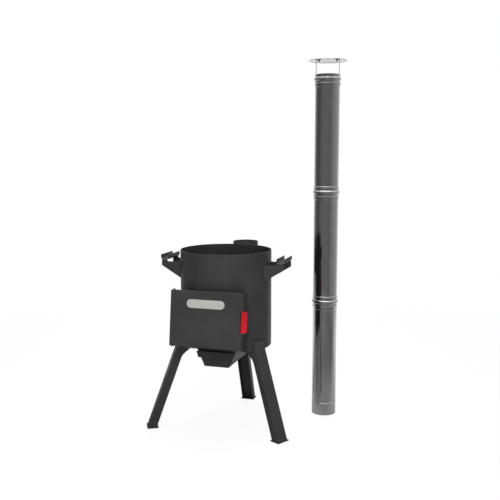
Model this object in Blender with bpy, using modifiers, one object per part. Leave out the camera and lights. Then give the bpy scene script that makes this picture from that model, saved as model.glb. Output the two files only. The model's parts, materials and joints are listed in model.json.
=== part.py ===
"""A kazan stove on three legs, with its three-section chimney standing beside it.

Metres, +Z up, the ground at z = 0. The stove's door faces -Y, and +X is the viewer's right.
The stove's own axis is the origin of the empty "kazan_stove", which is moved so that the
middle of the whole kit's footprint lies at the world's origin.
"""

import math

import bmesh
import bpy
from mathutils import Matrix, Vector

# Gaps and fits
GAP = 0.0003  # between faces that are welded or rest on each other
BOLT_CLEARANCE = 0.0004
RIVET_CLEARANCE = 0.0003
PAST = 0.02  # how far a cutter runs past what it cuts
HEAD_EDGE = 0.0004  # chamfer round a flat head
DOME_STEPS = 3

# Fire body
BODY_DIAMETER = 0.3645
BODY_SHEET = 0.003
BODY_BOTTOM = 0.331
BODY_HEIGHT = 0.3825
BODY_STEPS = 96

# Bottom plate and grate
PLATE_SHEET = 0.003
ASH_OPENING_WIDTH = 0.130
ASH_OPENING_LENGTH = 0.190
ASH_OPENING_CORNER = 0.008
GRATE_OVERLAP = 0.015
GRATE_THICKNESS = 0.008
GRATE_CORNER = 0.006
GRATE_SLOT = 0.008
GRATE_SLOT_PITCH = 0.016
GRATE_SLOT_COUNT = 9
GRATE_RIM = 0.014

# Fuel door, a lid folded from one sheet
DOOR_WIDTH = 0.2785
DOOR_HEIGHT = 0.2115
DOOR_SHEET = 0.002
DOOR_LEAN = math.radians(7)
DOOR_RAISE = 0.0415  # of its bottom edge above the body's bottom
DOOR_AHEAD = 0.08175  # of its bottom edge, from the body's front
DOOR_FLANGE = 0.025
DOOR_NARROW_FLANGE = 0.014
DOOR_BEND = 0.003

# Portal, the hood between the door and the body
PORTAL_SHEET = 0.003
PORTAL_BEND = 0.004
PORTAL_SIDE_GAP = 0.009
PORTAL_TOP_GAP = 0.0015
PORTAL_FRONT_GAP = 0.0005
FLOOR_LIFT = 0.006  # of the floor's front edge above the door's bottom

# Door hinge
HINGE_FROM_WALL = 0.005
HINGE_DEPTH = 0.020
HINGE_BOLT = 0.005
HINGE_HEAD = 0.0094
HINGE_HEAD_HEIGHT = 0.0045
HINGE_NUT = 0.0092
HINGE_NUT_HEIGHT = 0.004
HINGE_THREAD_SHOWING = 0.0015
LUG_SHEET = 0.003
LUG_WIDTH = 0.0094
LUG_FROM_FLANGE = 0.0035
EAR_WIDTH = 0.0088

# Door handle
TAB_HEIGHT = 0.080
TAB_LOW = 0.065
TAB_REACH = 0.025
TAB_BEHIND = 0.006  # of its leg's face, behind the door's
TAB_ROOT = 0.022  # behind the door's face, where its root ends
TAB_SHEET = 0.003
TAB_BEND = 0.005
TAB_CORNER = 0.009

# Nameplate, bare
NAMEPLATE_LENGTH = 0.1505
NAMEPLATE_WIDTH = 0.032
NAMEPLATE_SHEET = 0.0015
NAMEPLATE_MIDDLE = 0.164
NAMEPLATE_ASIDE = 0.003  # to the right of the door's middle
NAMEPLATE_RIVET_SPACING = 0.120
NAMEPLATE_RIVET = 0.003
NAMEPLATE_RIVET_HEAD = 0.0054
NAMEPLATE_RIVET_DOME = 0.0012

# Ash chute and drawer
CHUTE_TOP_WIDTH = 0.165
CHUTE_BOTTOM_WIDTH = 0.1012
CHUTE_DEPTH = 0.0707
CHUTE_LENGTH = 0.234
CHUTE_SHEET = 0.002
CHUTE_BEND = 0.003
DRAWER_SHEET = 0.0015
DRAWER_SIDE_CLEARANCE = 0.0015
DRAWER_REAR_CLEARANCE = 0.003
DRAWER_TOP_CLEARANCE = 0.0037
DRAWER_FACE_SHEET = 0.002
PULL_WIDTH = 0.152  # at its top
PULL_FOOT_WIDTH = 0.136
PULL_HEIGHT = 0.026
PULL_DEPTH = 0.0235
PULL_SHEET = 0.002
PULL_BACK = 0.015
PULL_BEND = 0.003
PULL_BELOW_TOP = 0.001

# Legs
LEG_ANGLE = 60.5  # of the front legs from the door's direction, degrees
LEG_LEAN = math.radians(20)
LEG_OVERLAP = 0.040  # up the body's side
LEG_STANDOFF = 0.0045  # of its web's inner face from the body, at its top
LEG_WIDTH = 0.052
LEG_FLANGE = 0.0315
LEG_SHEET = 0.003
LEG_BEND = 0.0045
GUSSET_REACH = 0.042  # under the body, from its side
GUSSET_SLOPE = math.radians(39.6)
GUSSET_FILLET = 0.040
FOOT_LENGTH = 0.0446
FOOT_WIDTH = 0.0573
FOOT_THICKNESS = 0.004
FOOT_TOE = 0.004  # of the foot plate beyond the leg

# Side handles
HANDLE_REACH = 0.0758
HANDLE_BELOW_RIM = 0.0455
HANDLE_ROOT_HEIGHT = 0.0652
HANDLE_END_HEIGHT = 0.022
HANDLE_SPAN = 0.117
CHEEK_SHORT = 0.0035  # of the grip's outer side
CHEEK_SEAT = 0.0225  # length of its top edge under the grip
CHEEK_DROP = 0.0055  # of the rest of its top edge, below that
HANDLE_SHEET = 0.003
GRIP_WIDTH = 0.033
GRIP_HEIGHT = 0.0215
GRIP_SHEET = 0.002
GRIP_BEND = 0.010

# Flue at the back
FLUE_WIDTH = 0.120
FLUE_HEIGHT = 0.100
FLUE_BEHIND = 0.1358
FLUE_TOP_BELOW_RIM = 0.056
FLUE_SHEET = 0.003
FLUE_SEAT = 0.003  # ledge under the pipe
COLLAR_HEIGHT = 0.060
COLLAR_SHEET = 0.002
COLLAR_CLEARANCE = 0.0015
COLLAR_BACK = 0.058  # of its axis from the flue box's back

# Chimney
CHIMNEY_X = 0.3595
CHIMNEY_Y = 0.2246
PIPE_DIAMETER = 0.100
PIPE_SHEET = 0.0008
PIPE_LENGTH = 0.500
PIPE_STEPS = 32
SOCKET_CLEARANCE = 0.0004
SOCKET_DEPTH = 0.050
SPIGOT_LENGTH = 0.046
BULGE_HEIGHT = 0.015
BULGE_DEPTH = 0.0034
BULGE_BELOW_LIP = 0.0105
BEAD_HEIGHT = 0.006
BEAD_DEPTH = 0.0012
SECTION_NAMES = ("lower", "middle", "upper")

# Rain cap
CAP_RING_SHOWING = 0.001
CAP_STRAP_WIDTH = 0.016
CAP_STRAP_SHEET = 0.0012
CAP_STRAP_IN_RING = 0.0455
CAP_TAB = 0.020
HAT_DIAMETER = 0.157
HAT_RISE = 0.008
HAT_SHEET = 0.001
HAT_STEPS = 40
HAT_ABOVE_LIP = 0.055
CAP_SCREW_BELOW_LIP = 0.036
CAP_SCREW = 0.0035
CAP_SCREW_HEAD = 0.007
CAP_SCREW_HEAD_HEIGHT = 0.0022
CAP_SCREW_TAIL = 0.003
CAP_BOLT = 0.004
CAP_BOLT_HEAD = 0.0078
CAP_BOLT_DOME = 0.0024
CAP_NUT = 0.008  # across its corners
CAP_NUT_HEIGHT = 0.0032
CAP_THREAD_SHOWING = 0.005

# Finishes: colour, roughness, metallic
BLACK_COAT = ((0.020, 0.020, 0.021), 0.42, 0.0)
RED_COAT = ((0.530, 0.021, 0.027), 0.38, 0.0)
BARE_PLATE = ((0.490, 0.480, 0.462), 0.45, 0.6)
ZINC = ((0.42, 0.44, 0.46), 0.38, 1.0)
STAINLESS = ((0.42, 0.42, 0.43), 0.22, 1.0)
CAST_IRON = ((0.035, 0.034, 0.033), 0.70, 0.4)

# Places that follow from the sizes above
BODY_RADIUS = BODY_DIAMETER / 2
BODY_INSIDE = (BODY_RADIUS - BODY_SHEET) * math.cos(math.pi / BODY_STEPS)
BODY_TOP = BODY_BOTTOM + BODY_HEIGHT
PORTAL_HALF = DOOR_WIDTH / 2 - DOOR_SHEET - PORTAL_SIDE_GAP
PORTAL_INSIDE = PORTAL_HALF - PORTAL_SHEET
PORTAL_FRONT = DOOR_SHEET + PORTAL_FRONT_GAP
PORTAL_TOP = DOOR_HEIGHT - DOOR_SHEET - PORTAL_TOP_GAP
PORTAL_CHORD = math.sqrt(BODY_RADIUS**2 - PORTAL_INSIDE**2)
HINGE_X = -PORTAL_HALF - HINGE_FROM_WALL
CHUTE_TOP = BODY_BOTTOM - GAP
CHUTE_LEAN = math.atan((CHUTE_TOP_WIDTH - CHUTE_BOTTOM_WIDTH) / 2 / CHUTE_DEPTH)
LEG_TOP = BODY_BOTTOM + LEG_OVERLAP
LEG_OUTSIDE = BODY_RADIUS + LEG_STANDOFF + LEG_SHEET
FOOT_REACH = LEG_OUTSIDE + (LEG_TOP - FOOT_THICKNESS) * math.tan(LEG_LEAN) + FOOT_TOE
HANDLE_TOP = BODY_TOP - HANDLE_BELOW_RIM
HANDLE_END = BODY_RADIUS + HANDLE_REACH
FLUE_TOP = BODY_TOP - FLUE_TOP_BELOW_RIM
FLUE_BACK = BODY_RADIUS + FLUE_BEHIND
COLLAR_Y = FLUE_BACK - COLLAR_BACK
PIPE_RADIUS = PIPE_DIAMETER / 2
SOCKET_INSIDE = PIPE_RADIUS + SOCKET_CLEARANCE
SOCKET_OUTSIDE = SOCKET_INSIDE + PIPE_SHEET
SECTION_PITCH = PIPE_LENGTH - SPIGOT_LENGTH + GAP
FOOT_CORNER = math.radians(LEG_ANGLE)
KIT_LEFT = FOOT_REACH * math.sin(FOOT_CORNER) + FOOT_WIDTH / 2 * math.cos(FOOT_CORNER)
KIT_RIGHT = CHIMNEY_X + HAT_DIAMETER / 2
KIT_FRONT = BODY_RADIUS + DOOR_AHEAD
KIT_BACK = max(FLUE_BACK, FOOT_REACH)
KIT_X = (KIT_LEFT - KIT_RIGHT) / 2
KIT_Y = (KIT_FRONT - KIT_BACK) / 2

# How a drawn outline's x, y and thickness lie in its parent's axes
FLAT = Matrix.Identity(3)
FRONT = Matrix(((1, 0, 0), (0, 0, -1), (0, 1, 0)))
SIDE = Matrix(((0, 0, 1), (1, 0, 0), (0, 1, 0)))
ARC_STEP = math.radians(23)


def clear_scene():
    for old in list(bpy.data.objects):
        bpy.data.objects.remove(old, do_unlink=True)


def collection(name):
    made = bpy.data.collections.new(name)
    bpy.context.scene.collection.children.link(made)
    return made


def material(name, finish):
    colour, roughness, metallic = finish
    made = bpy.data.materials.new(name)
    made.use_nodes = True
    surface = made.node_tree.nodes["Principled BSDF"]
    surface.inputs["Base Color"].default_value = (*colour, 1)
    surface.inputs["Roughness"].default_value = roughness
    surface.inputs["Metallic"].default_value = metallic
    made.diffuse_color = (*colour, 1)
    return made


def empty(name, parent=None, location=(0, 0, 0), rotation=(0, 0, 0)):
    made = bpy.data.objects.new(name, None)
    made.empty_display_size = 0.05
    made.location = location
    made.rotation_euler = rotation
    made.parent = parent
    PARTS.objects.link(made)
    return made


def place(name, mesh, parent, finish, location=(0, 0, 0), turn=FLAT):
    """The piece of this mesh: turned, moved, and in the parts' collection."""
    mesh.name = name
    mesh.materials.append(material(name, finish))
    made = bpy.data.objects.new(name, mesh)
    made.parent = parent
    made.matrix_local = Matrix.Translation(location) @ turn.to_4x4()
    PARTS.objects.link(made)
    return made


def cutter(name, mesh, parent, location=(0, 0, 0), turn=FLAT):
    mesh.name = name
    made = bpy.data.objects.new(name, mesh)
    made.parent = parent
    made.matrix_local = Matrix.Translation(location) @ turn.to_4x4()
    made.hide_render = True
    made.display_type = "WIRE"
    CUTTERS.objects.link(made)
    return made


def cut(piece, tool, operation="DIFFERENCE"):
    change = piece.modifiers.new(tool.name, "BOOLEAN")
    change.object = tool
    change.operation = operation


def welded(mesh):
    """Closes the mesh where a curve's caps or a turned profile's ends meet, and shades it."""
    shape = bmesh.new()
    shape.from_mesh(mesh)
    bmesh.ops.remove_doubles(shape, verts=shape.verts, dist=1e-6)
    bmesh.ops.recalc_face_normals(shape, faces=shape.faces)
    shape.to_mesh(mesh)
    shape.free()
    mesh.shade_smooth()
    mesh.set_sharp_from_angle(angle=math.radians(35))
    return mesh


def as_mesh(helper):
    """The helper object's evaluated mesh; the helper is removed."""
    PARTS.objects.link(helper)
    graph = bpy.context.evaluated_depsgraph_get()
    mesh = bpy.data.meshes.new_from_object(helper.evaluated_get(graph))
    bpy.data.objects.remove(helper)
    return welded(mesh)


def rounded(corners):
    """Points of an outline. A corner is (x, y), or (x, y, radius) to be rounded by an arc."""
    points = []
    for index, corner in enumerate(corners):
        here = Vector(corner[:2])
        radius = corner[2] if len(corner) > 2 else 0
        if not radius:
            points.append(here)
            continue
        before = (Vector(corners[index - 1][:2]) - here).normalized()
        after = (Vector(corners[(index + 1) % len(corners)][:2]) - here).normalized()
        half = before.angle(after) / 2
        middle = here + (before + after).normalized() * radius / math.sin(half)
        start = here + before * radius / math.tan(half) - middle
        sweep = start.angle_signed(here + after * radius / math.tan(half) - middle)
        steps = max(2, math.ceil(abs(sweep) / ARC_STEP))
        for step in range(steps + 1):
            point = middle + Matrix.Rotation(-sweep * step / steps, 2) @ start
            points.append(point)
    return [point for index, point in enumerate(points) if (point - points[index - 1]).length > 1e-5]


def sheet(outlines, thickness):
    """A flat outline with the thickness split evenly about its plane. Outlines within it are holes."""
    curve = bpy.data.curves.new("outline", "CURVE")
    curve.dimensions = "2D"
    curve.fill_mode = "BOTH"
    curve.extrude = thickness / 2
    for corners in outlines:
        points = rounded(corners)
        spline = curve.splines.new("POLY")
        spline.points.add(len(points) - 1)
        for point, (x, y) in zip(spline.points, points):
            point.co = (x, y, 0, 1)
        spline.use_cyclic_u = True
    return as_mesh(bpy.data.objects.new("outline", curve))


def turned(profile, steps, closed=True):
    """A profile of (radius, height) points, down its outer side and up its inner, turned about Z."""
    shape = bmesh.new()
    verts = [shape.verts.new((radius, 0, height)) for radius, height in profile]
    pairs = list(zip(verts, verts[1:]))
    if closed:
        pairs.append((verts[-1], verts[0]))
    for pair in pairs:
        shape.edges.new(pair)
    mesh = bpy.data.meshes.new("profile")
    shape.to_mesh(mesh)
    shape.free()
    made = bpy.data.objects.new("profile", mesh)
    screw = made.modifiers.new("turn", "SCREW")
    screw.steps = steps
    screw.render_steps = steps
    screw.use_merge_vertices = True
    screw.merge_threshold = 1e-5
    return as_mesh(made)


def box(size):
    shape = bmesh.new()
    bmesh.ops.create_cube(shape, size=1)
    bmesh.ops.scale(shape, vec=size, verts=shape.verts)
    mesh = bpy.data.meshes.new("box")
    shape.to_mesh(mesh)
    shape.free()
    return mesh


def rod(diameter, length, steps=16):
    shape = bmesh.new()
    bmesh.ops.create_cone(
        shape, cap_ends=True, segments=steps, radius1=diameter / 2, radius2=diameter / 2, depth=length
    )
    mesh = bpy.data.meshes.new("rod")
    shape.to_mesh(mesh)
    shape.free()
    return mesh


def stud(shank, head, head_height, length, dome=False):
    """A bolt or rivet along Z: its head's seat at z = 0, the head above it and the shank below."""
    radius = head / 2
    if dome:
        angles = [math.pi / 2 * step / DOME_STEPS for step in range(DOME_STEPS)]
        crown = [(radius * math.sin(angle), head_height * math.cos(angle)) for angle in angles]
    else:
        crown = [(0, head_height), (radius - HEAD_EDGE, head_height), (radius, head_height - HEAD_EDGE)]
    below = [(radius, 0), (shank / 2, 0), (shank / 2, -length), (0, -length)]
    return turned(crown + below, 12, closed=False)


def body_cutter(name, bottom):
    """The space that the body fills, with the welding gap round it, from this height up."""
    height = BODY_TOP + PAST - bottom
    ring = [
        (0, height),
        (BODY_RADIUS + GAP, height),
        (BODY_RADIUS + GAP, 0),
        (0, 0),
    ]
    return cutter(name, turned(ring, BODY_STEPS, closed=False), STOVE, (0, 0, bottom))


def fire_body():
    ring = [
        (BODY_RADIUS, BODY_TOP),
        (BODY_RADIUS, BODY_BOTTOM),
        (BODY_RADIUS - BODY_SHEET, BODY_BOTTOM),
        (BODY_RADIUS - BODY_SHEET, BODY_TOP),
    ]
    shell = place("firebox_shell", turned(ring, BODY_STEPS), STOVE, BLACK_COAT)
    ceiling = PORTAL_TOP - PORTAL_SHEET
    way_in = [
        (-PORTAL_INSIDE, -DOOR_HEIGHT),
        (PORTAL_INSIDE, -DOOR_HEIGHT),
        (PORTAL_INSIDE, ceiling),
        (-PORTAL_INSIDE, ceiling),
    ]
    length = BODY_RADIUS + DOOR_AHEAD
    cut(shell, cutter("portal_way", sheet([way_in], length), DOOR_PLANE, (0, length / 2, 0), FRONT))
    height = FLUE_HEIGHT - 2 * FLUE_SHEET - 2 * FLUE_SEAT
    size = (FLUE_WIDTH - 2 * FLUE_SHEET - 2 * FLUE_SEAT, BODY_RADIUS, height)
    middle = (0, BODY_RADIUS, FLUE_TOP - FLUE_HEIGHT / 2)
    cut(shell, cutter("flue_way", box(size), STOVE, middle))


def bottom_plate():
    radius = BODY_INSIDE - GAP
    front = PORTAL_CHORD - GAP
    start = math.asin(front / radius)
    steps = BODY_STEPS // 2
    turn = (math.pi + 2 * start) / steps
    disc = [
        (radius * math.cos(step * turn - start), radius * math.sin(step * turn - start))
        for step in range(steps + 1)
    ]
    across, along = ASH_OPENING_WIDTH / 2, ASH_OPENING_LENGTH / 2
    opening = [
        (x * across, y * along, ASH_OPENING_CORNER) for x, y in ((-1, -1), (1, -1), (1, 1), (-1, 1))
    ]
    plate = sheet([disc, opening], PLATE_SHEET)
    place("bottom_plate", plate, STOVE, BLACK_COAT, (0, 0, BODY_BOTTOM + PLATE_SHEET / 2))


def grate():
    across = ASH_OPENING_WIDTH / 2 + GRATE_OVERLAP
    along = ASH_OPENING_LENGTH / 2 + GRATE_OVERLAP
    outlines = [
        [(x * across, y * along, GRATE_CORNER) for x, y in ((-1, -1), (1, -1), (1, 1), (-1, 1))]
    ]
    for column in range(GRATE_SLOT_COUNT):
        left = (column - (GRATE_SLOT_COUNT - 1) / 2) * GRATE_SLOT_PITCH - GRATE_SLOT / 2
        for near, far in ((GRATE_RIM / 2, along - GRATE_RIM), (GRATE_RIM - along, -GRATE_RIM / 2)):
            outlines.append(
                [
                    (left, near, GRATE_SLOT / 2),
                    (left + GRATE_SLOT, near, GRATE_SLOT / 2),
                    (left + GRATE_SLOT, far, GRATE_SLOT / 2),
                    (left, far, GRATE_SLOT / 2),
                ]
            )
    height = BODY_BOTTOM + PLATE_SHEET + GAP + GRATE_THICKNESS / 2
    place("grate", sheet(outlines, GRATE_THICKNESS), STOVE, CAST_IRON, (0, 0, height))


def floor_front(rise):
    """Where a line parallel to the portal floor's underside, raised by this much, meets the front."""
    back = Vector((-PORTAL_CHORD, BODY_BOTTOM + rise))
    front = DOOR_CORNER + PORTAL_FRONT * DOOR_INWARD
    under = front + FLOOR_LIFT * DOOR_UP
    slope = (under.y - BODY_BOTTOM) / (under.x + PORTAL_CHORD)
    up = (back.y + slope * (front.x - back.x) - front.y) / (DOOR_UP.y - slope * DOOR_UP.x)
    return front + up * DOOR_UP


def portal():
    """The hood and its floor. The hood's walls end at the body and at the floor's underside."""
    low = -DOOR_HEIGHT / 2
    bent = [
        (-PORTAL_HALF, low),
        (-PORTAL_HALF, PORTAL_TOP, PORTAL_BEND),
        (PORTAL_HALF, PORTAL_TOP, PORTAL_BEND),
        (PORTAL_HALF, low),
        (PORTAL_INSIDE, low),
        (PORTAL_INSIDE, PORTAL_TOP - PORTAL_SHEET),
        (-PORTAL_INSIDE, PORTAL_TOP - PORTAL_SHEET),
        (-PORTAL_INSIDE, low),
    ]
    depth = BODY_RADIUS
    middle = (0, PORTAL_FRONT + depth / 2, 0)
    hood = place("portal_hood", sheet([bent], depth), DOOR_PLANE, BLACK_COAT, middle, FRONT)
    cut(hood, body_cutter("portal_end", 0))
    front = floor_front(0)
    back = Vector((-PORTAL_CHORD, BODY_BOTTOM))
    along = (back - front) / (back.x - front.x)
    before = front - along * PAST * 3
    after = back + along * BODY_RADIUS
    below = [before, after, (after.x, 0), (before.x, 0)]
    wedge = sheet([below], DOOR_WIDTH)
    cut(hood, cutter("under_portal", wedge, STOVE, (0, 0, 0), SIDE))
    rise = PORTAL_SHEET * along.length
    floor = [back, front, floor_front(rise), back + Vector((0, rise))]
    width = 2 * (PORTAL_INSIDE - GAP)
    place("portal_floor", sheet([floor], width), STOVE, BLACK_COAT, (0, 0, 0), SIDE)


def hinge_hole(piece, diameter, bottom, top):
    hole = rod(diameter, top - bottom + PAST / 2)
    cut(piece, cutter(piece.name + "_hole", hole, DOOR_PLANE, (HINGE_X, HINGE_DEPTH, (top + bottom) / 2)))


def door():
    """The leaf: the front sheet with its flanges turned inwards, and the ear for the lower bolt."""
    shape = bmesh.new()
    bmesh.ops.create_cube(shape, size=1)
    bmesh.ops.scale(shape, vec=(DOOR_WIDTH, DOOR_FLANGE, DOOR_HEIGHT), verts=shape.verts)
    middle = (-HINGE_X, DOOR_FLANGE / 2 - HINGE_DEPTH, DOOR_HEIGHT / 2)
    bmesh.ops.translate(shape, vec=middle, verts=shape.verts)
    back = max(shape.faces, key=lambda face: face.calc_center_median().y)
    bmesh.ops.delete(shape, geom=[back], context="FACES_ONLY")
    front = min(shape.faces, key=lambda face: face.calc_center_median().y)
    bmesh.ops.bevel(
        shape, geom=list(front.edges), offset=DOOR_BEND, segments=3, profile=0.5, affect="EDGES"
    )
    mesh = bpy.data.meshes.new("door_leaf")
    shape.to_mesh(mesh)
    shape.free()
    leaf = place("door_leaf", mesh, DOOR_HINGE, BLACK_COAT)
    fold = leaf.modifiers.new("sheet", "SOLIDIFY")
    fold.thickness = DOOR_SHEET
    fold.offset = -1
    fold.use_even_offset = True
    left, right = -DOOR_WIDTH / 2, DOOR_WIDTH / 2 - DOOR_SHEET
    far = DOOR_FLANGE + PAST
    beside = [(left - PAST, DOOR_NARROW_FLANGE), (left + PAST, DOOR_NARROW_FLANGE)]
    beside += [(left + PAST, far), (left - PAST, far)]
    bottom, top = DOOR_SHEET, DOOR_HEIGHT - DOOR_SHEET
    narrow = cutter("left_flange_end", sheet([beside], top - bottom), DOOR_PLANE, (0, 0, (top + bottom) / 2))
    cut(leaf, narrow)
    ear_left, ear_right = HINGE_X - EAR_WIDTH / 2, HINGE_X + EAR_WIDTH / 2
    ear_end = HINGE_DEPTH + EAR_WIDTH / 2
    under = [
        (left - PAST, DOOR_NARROW_FLANGE),
        (ear_left, DOOR_NARROW_FLANGE),
        (ear_left, ear_end, EAR_WIDTH / 2),
        (ear_right, ear_end, EAR_WIDTH / 2),
        (ear_right, DOOR_NARROW_FLANGE),
        (right, DOOR_NARROW_FLANGE),
        (right, far),
        (left - PAST, far),
    ]
    cut(leaf, cutter("bottom_flange_end", sheet([under], 2 * DOOR_SHEET), DOOR_PLANE))
    diameter = HINGE_BOLT + 2 * BOLT_CLEARANCE
    hinge_hole(leaf, diameter, -PAST, DOOR_HEIGHT + PAST)
    for side, sign in (("left", -1), ("right", 1)):
        name = f"nameplate_hole_{side}"
        hole = rod(NAMEPLATE_RIVET + 2 * RIVET_CLEARANCE, PAST)
        spot = (NAMEPLATE_ASIDE + sign * NAMEPLATE_RIVET_SPACING / 2, 0, NAMEPLATE_MIDDLE)
        cut(leaf, cutter(name, hole, DOOR_PLANE, spot, FRONT))


def door_hinge():
    """At each end a lug welded to the portal's wall, a bolt through flange and lug, and a nut."""
    reach = LUG_WIDTH / 2
    lug = [
        (-PORTAL_HALF - GAP, HINGE_DEPTH - reach),
        (-PORTAL_HALF - GAP, HINGE_DEPTH + reach),
        (HINGE_X - reach, HINGE_DEPTH + reach, reach),
        (HINGE_X - reach, HINGE_DEPTH - reach, reach),
    ]
    for end, flange, outwards in (("upper", DOOR_HEIGHT, 1), ("lower", 0, -1)):
        seat = flange + outwards * GAP
        lug_near = flange - outwards * (DOOR_SHEET + LUG_FROM_FLANGE)
        lug_far = lug_near - outwards * LUG_SHEET
        name = f"{end}_hinge_lug"
        middle = (0, 0, (lug_near + lug_far) / 2)
        piece = place(name, sheet([lug], LUG_SHEET), DOOR_PLANE, BLACK_COAT, middle)
        hinge_hole(piece, HINGE_BOLT + 2 * GAP, *sorted((lug_near, lug_far)))
        nut_near = lug_far - outwards * GAP
        nut_far = nut_near - outwards * HINGE_NUT_HEIGHT
        turn = FLAT if outwards > 0 else Matrix.Rotation(math.pi, 3, "X")
        length = abs(seat - nut_far) + HINGE_THREAD_SHOWING
        bolt = stud(HINGE_BOLT, HINGE_HEAD, HINGE_HEAD_HEIGHT, length)
        place(f"{end}_hinge_bolt", bolt, DOOR_PLANE, ZINC, (HINGE_X, HINGE_DEPTH, seat), turn)
        middle = (HINGE_X, HINGE_DEPTH, (nut_near + nut_far) / 2)
        nut = place(f"{end}_hinge_nut", rod(HINGE_NUT, HINGE_NUT_HEIGHT, 6), DOOR_PLANE, ZINC, middle)
        hinge_hole(nut, HINGE_BOLT + 2 * GAP, *sorted((nut_near, nut_far)))


def door_handle():
    """A bent tab: its root lies along the door's right flange, and its leg points away from it."""
    near = DOOR_WIDTH / 2 + GAP
    inside = TAB_BEHIND + TAB_SHEET
    profile = [
        (near, TAB_ROOT),
        (near, TAB_BEHIND, TAB_BEND),
        (near + TAB_REACH, TAB_BEHIND),
        (near + TAB_REACH, inside),
        (near + TAB_SHEET, inside, TAB_BEND - TAB_SHEET),
        (near + TAB_SHEET, TAB_ROOT),
    ]
    middle = TAB_LOW + TAB_HEIGHT / 2
    tab = place("door_handle", sheet([profile], TAB_HEIGHT), DOOR_SWING, RED_COAT, (0, 0, middle))
    face = [
        (near - PAST, -TAB_HEIGHT / 2 - PAST),
        (near + TAB_REACH / 2, -TAB_HEIGHT / 2 - PAST),
        (near + TAB_REACH / 2, -TAB_HEIGHT / 2),
        (near + TAB_REACH, -TAB_HEIGHT / 2, TAB_CORNER),
        (near + TAB_REACH, TAB_HEIGHT / 2, TAB_CORNER),
        (near + TAB_REACH / 2, TAB_HEIGHT / 2),
        (near + TAB_REACH / 2, TAB_HEIGHT / 2 + PAST),
        (near - PAST, TAB_HEIGHT / 2 + PAST),
    ]
    kept = cutter("handle_face", sheet([face], 4 * TAB_ROOT), DOOR_SWING, (0, 0, middle), FRONT)
    cut(tab, kept, "INTERSECT")


def nameplate():
    half, radius = NAMEPLATE_LENGTH / 2, NAMEPLATE_WIDTH / 2
    stadium = [(x * half, y * radius, radius) for x, y in ((-1, -1), (1, -1), (1, 1), (-1, 1))]
    middle = (NAMEPLATE_ASIDE, -GAP - NAMEPLATE_SHEET / 2, NAMEPLATE_MIDDLE)
    plate = place("nameplate", sheet([stadium], NAMEPLATE_SHEET), DOOR_SWING, BARE_PLATE, middle, FRONT)
    face = -2 * GAP - NAMEPLATE_SHEET
    for side, sign in (("left", -1), ("right", 1)):
        cut(plate, bpy.data.objects[f"nameplate_hole_{side}"])
        length = DOOR_SHEET - face
        rivet = stud(NAMEPLATE_RIVET, NAMEPLATE_RIVET_HEAD, NAMEPLATE_RIVET_DOME, length, dome=True)
        spot = (NAMEPLATE_ASIDE + sign * NAMEPLATE_RIVET_SPACING / 2, face, NAMEPLATE_MIDDLE)
        place(f"nameplate_rivet_{side}", rivet, DOOR_SWING, ZINC, spot, FRONT)


def chute_half(height, inset=0.0):
    """Half the chute's width at this height, less a wall or clearance measured square to its side."""
    below = CHUTE_TOP - height
    return CHUTE_TOP_WIDTH / 2 - below * math.tan(CHUTE_LEAN) - inset / math.cos(CHUTE_LEAN)


def trapezoid(bottom, top, inset, bend=0.0):
    return [
        (-chute_half(top, inset), top),
        (-chute_half(bottom, inset), bottom, bend),
        (chute_half(bottom, inset), bottom, bend),
        (chute_half(top, inset), top),
    ]


def trough(name, parent, bottom, top, inset, wall, front, back, front_wall, finish):
    """An open-topped trough of trapezoid section with a rear wall and, if asked, a front one."""
    solid = sheet([trapezoid(bottom, top, inset, CHUTE_BEND)], back - front)
    piece = place(name, solid, parent, finish, (0, (front + back) / 2, 0), FRONT)
    hollow_front = front + wall if front_wall else front - PAST
    hollow_back = back - wall
    hollow = sheet([trapezoid(bottom + wall, top + PAST, inset + wall)], hollow_back - hollow_front)
    middle = (0, (hollow_front + hollow_back) / 2, 0)
    cut(piece, cutter(name + "_inside", hollow, parent, middle, FRONT))


def ash_box():
    """The chute under the body, and the drawer that slides in it with its face plate and pull."""
    half = CHUTE_LENGTH / 2
    bottom = CHUTE_TOP - CHUTE_DEPTH
    trough("ash_chute", STOVE, bottom, CHUTE_TOP, 0, CHUTE_SHEET, -half, half, False, BLACK_COAT)
    drawer_top = CHUTE_TOP - DRAWER_TOP_CLEARANCE
    drawer_bottom = bottom + CHUTE_SHEET + GAP
    inset = CHUTE_SHEET + DRAWER_SIDE_CLEARANCE
    back = half - CHUTE_SHEET - DRAWER_REAR_CLEARANCE
    trough(
        "ash_drawer", DRAWER, drawer_bottom, drawer_top, inset, DRAWER_SHEET, -half, back, True, BLACK_COAT
    )
    face = sheet([trapezoid(bottom, drawer_top, 0, CHUTE_BEND)], DRAWER_FACE_SHEET)
    middle = -half - GAP - DRAWER_FACE_SHEET / 2
    place("ash_drawer_face", face, DRAWER, BLACK_COAT, (0, middle, 0), FRONT)
    near = -half - 2 * GAP - DRAWER_FACE_SHEET
    far = near - PULL_DEPTH
    top = drawer_top - PULL_BELOW_TOP
    low = top - PULL_HEIGHT
    bent = [
        (near, low, PULL_BEND),
        (near, low + PULL_BACK),
        (near - PULL_SHEET, low + PULL_BACK),
        (near - PULL_SHEET, low + PULL_SHEET),
        (far + PULL_SHEET, low + PULL_SHEET),
        (far + PULL_SHEET, top),
        (far, top),
        (far, low, PULL_BEND),
    ]
    pull = place("ash_drawer_pull", sheet([bent], 2 * PULL_WIDTH), DRAWER, BLACK_COAT, (0, 0, 0), SIDE)
    flare = (PULL_WIDTH - PULL_FOOT_WIDTH) / 2 / PULL_HEIGHT
    bottom_half, top_half = PULL_FOOT_WIDTH / 2 - flare * PAST, PULL_WIDTH / 2 + flare * PAST
    ends = [
        (-bottom_half, low - PAST),
        (bottom_half, low - PAST),
        (top_half, top + PAST),
        (-top_half, top + PAST),
    ]
    middle = (0, (near + far) / 2, 0)
    kept = cutter("pull_ends", sheet([ends], PULL_DEPTH + 2 * PAST), DRAWER, middle, FRONT)
    cut(pull, kept, "INTERSECT")


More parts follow.
